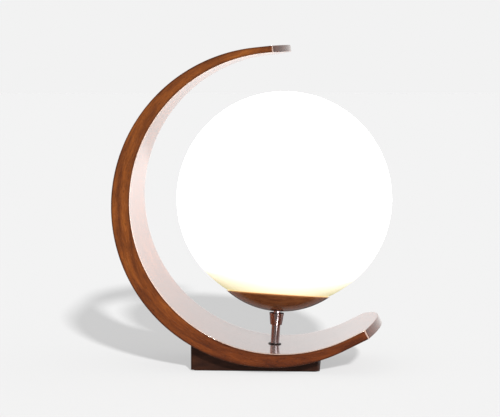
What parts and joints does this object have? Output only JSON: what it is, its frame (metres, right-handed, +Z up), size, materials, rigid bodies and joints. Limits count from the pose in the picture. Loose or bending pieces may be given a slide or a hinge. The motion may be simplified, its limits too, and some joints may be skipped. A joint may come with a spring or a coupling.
{
  "type": "table lamp",
  "caption": "Free-standing table lamp: a wooden crescent on a foot block carries an opal glass globe in a turned cup on a short stem with a ball swivel.",
  "frame": {"origin": "middle of the felt under the foot block, on the table", "axes": "+Z up, +X to the open side of the crescent, the front faces -Y"},
  "size_m": [0.253, 0.1999, 0.2964],
  "materials": {
    "walnut": "gloss lacquer over walnut stain",
    "dark_walnut": "satin lacquer over dark stain",
    "black_plastic": "fine moulded matt",
    "cream_plastic": "fine moulded matt",
    "lead_pvc": "smooth extruded",
    "porcelain": "unglazed",
    "steel": "zinc plated",
    "brass": "turned",
    "chrome": "polished",
    "dark_washer": "black oxide",
    "felt": "pressed felt",
    "opal_glass": "opal, fire polished",
    "bulb_diffuser": "frosted"
  },
  "bodies": {
    "base": {"crescent_arc": "walnut", "base_block": "dark_walnut", "base_cover": "black_plastic", "cover_screws": "steel", "base_felt": "felt", "arc_screws": "steel", "cord_bush": "black_plastic", "terminal_block": "cream_plastic", "terminal_screws": "brass", "terminal_fixing": "steel", "threaded_tube": "brass", "stem_sleeve": "chrome", "stem_washer": "dark_washer", "lock_washer": "steel", "stem_nut": "brass", "base_lead": "lead_pvc"},
    "swivel": {"swivel_cone": "chrome", "pivot_screws": "steel", "friction_washer": "cream_plastic"},
    "head": {"ball_stud": "chrome", "cup": "walnut", "gallery_plate": "steel", "spring_clips": "steel", "clip_rivets": "steel", "stud_washer": "steel", "stud_nut": "brass", "holder_cap": "black_plastic", "holder_body": "black_plastic", "holder_core": "porcelain", "holder_shell": "brass", "holder_contact": "brass", "holder_terminals": "brass", "head_lead": "lead_pvc"},
    "globe_shell": {"globe": "opal_glass"},
    "bulb_screw": {"bulb_cap": "steel", "bulb_insulator": "black_plastic", "bulb_tip": "steel"},
    "bulb_top": {"bulb_collar": "cream_plastic", "led_board": "cream_plastic", "bulb_envelope": "bulb_diffuser"}
  },
  "joints": [
    {"name": "swivel_turn", "type": "hinge", "parent": "base", "child": "swivel", "pos_m": [0.0176, 0, 0.04479], "axis": [0.0593, 0, 0.9982], "range_deg": [-170, 170]},
    {"name": "head_tilt", "type": "hinge", "parent": "swivel", "child": "head", "pos_m": [0.0176, 0, 0.04479], "axis": [0.9982, 0, -0.0593], "range_deg": [-2, 16]},
    {"name": "globe_lift", "type": "slide", "parent": "head", "child": "globe_shell", "axis": [0.0589, 0.1219, 0.9908], "range_m": [0, 0.02]},
    {"name": "bulb_lift", "type": "slide", "parent": "head", "child": "bulb_screw", "axis": [0.0589, 0.1219, 0.9908], "range_m": [0, 0.0108]},
    {"name": "bulb_turn", "type": "hinge", "parent": "bulb_screw", "child": "bulb_top", "pos_m": [0.02405, 0.01336, 0.15338], "axis": [0.0589, 0.1219, 0.9908], "range_deg": [0, 1080]}
  ],
  "couplings": [
    {"joint": "bulb_turn", "follows": "bulb_lift", "rad_per_m": 1745.3}
  ]
}
